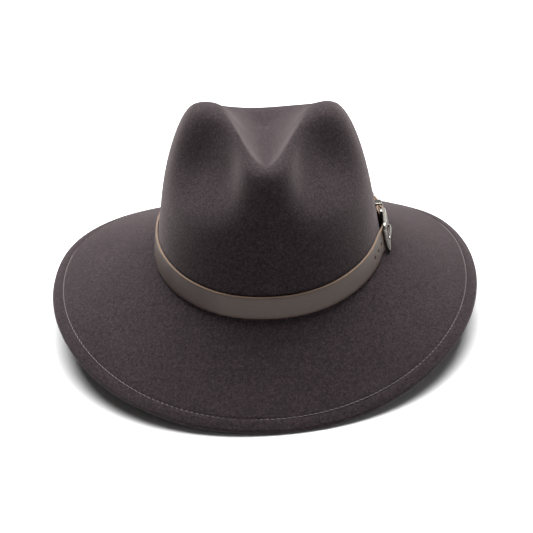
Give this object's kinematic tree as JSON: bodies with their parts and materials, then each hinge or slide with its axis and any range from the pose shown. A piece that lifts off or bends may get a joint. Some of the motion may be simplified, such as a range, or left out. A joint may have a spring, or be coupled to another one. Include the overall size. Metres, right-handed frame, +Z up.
{
  "type": "fedora hat",
  "caption": "Wide-brim felt fedora with teardrop crown, pinched front, stitched brim edge and a buckled leather band.",
  "frame": {"origin": "under the middle of the brim's outline, on the plane that the front and back of the brim stand on", "axes": "-Y is the front of the hat, +X is the wearer's left, where the buckle is, +Z is up"},
  "size_m": [0.3408, 0.3442, 0.1807],
  "materials": {
    "felt": "wool felt with a short matt nap, charcoal brown",
    "wire": "spring steel wire, hidden in the brim edge",
    "thread": "polyester sewing thread, mid grey",
    "satin": "dark satin",
    "sweat_leather": "smooth brown leather",
    "reed": "extruded plastic cord",
    "tape": "woven cotton tape",
    "band_leather": "waxed taupe leather with a pale cut edge",
    "silver": "antiqued silver plate, worn bright on the high spots and dark in the recesses"
  },
  "bodies": {
    "hat": {"felt_body": "felt", "brim_wire": "wire", "edge_thread_top": "thread", "edge_thread_bobbin": "thread", "lining_side": "satin", "lining_tip": "satin", "sweatband": "sweat_leather", "sweatband_reed": "reed", "reed_tape": "tape", "sweatband_bow": "satin", "hatband_strap": "band_leather", "strap_tip": "silver", "fold_rivet": "silver", "tip_rivet_1": "silver", "tip_rivet_2": "silver"},
    "buckle": {"buckle_frame": "silver"},
    "tongue": {"buckle_tongue": "silver"},
    "keeper": {"keeper_loop": "silver"}
  },
  "joints": [
    {"name": "buckle_lift", "type": "hinge", "parent": "hat", "child": "buckle", "pos_m": [0.09696, 0.00237, 0.06829], "axis": [-0.141, -0.0017, 0.99], "range_deg": [0, 4]},
    {"name": "tongue_lift", "type": "hinge", "parent": "buckle", "child": "tongue", "pos_m": [0.09696, 0.00237, 0.06829], "axis": [-0.141, -0.0017, 0.99], "range_deg": [0, 8]},
    {"name": "keeper_slide", "type": "hinge", "parent": "hat", "child": "keeper", "pos_m": [-0.02617, 0.00337, 0.06802], "axis": [0, 0, 1], "range_deg": [0, 3]}
  ]
}
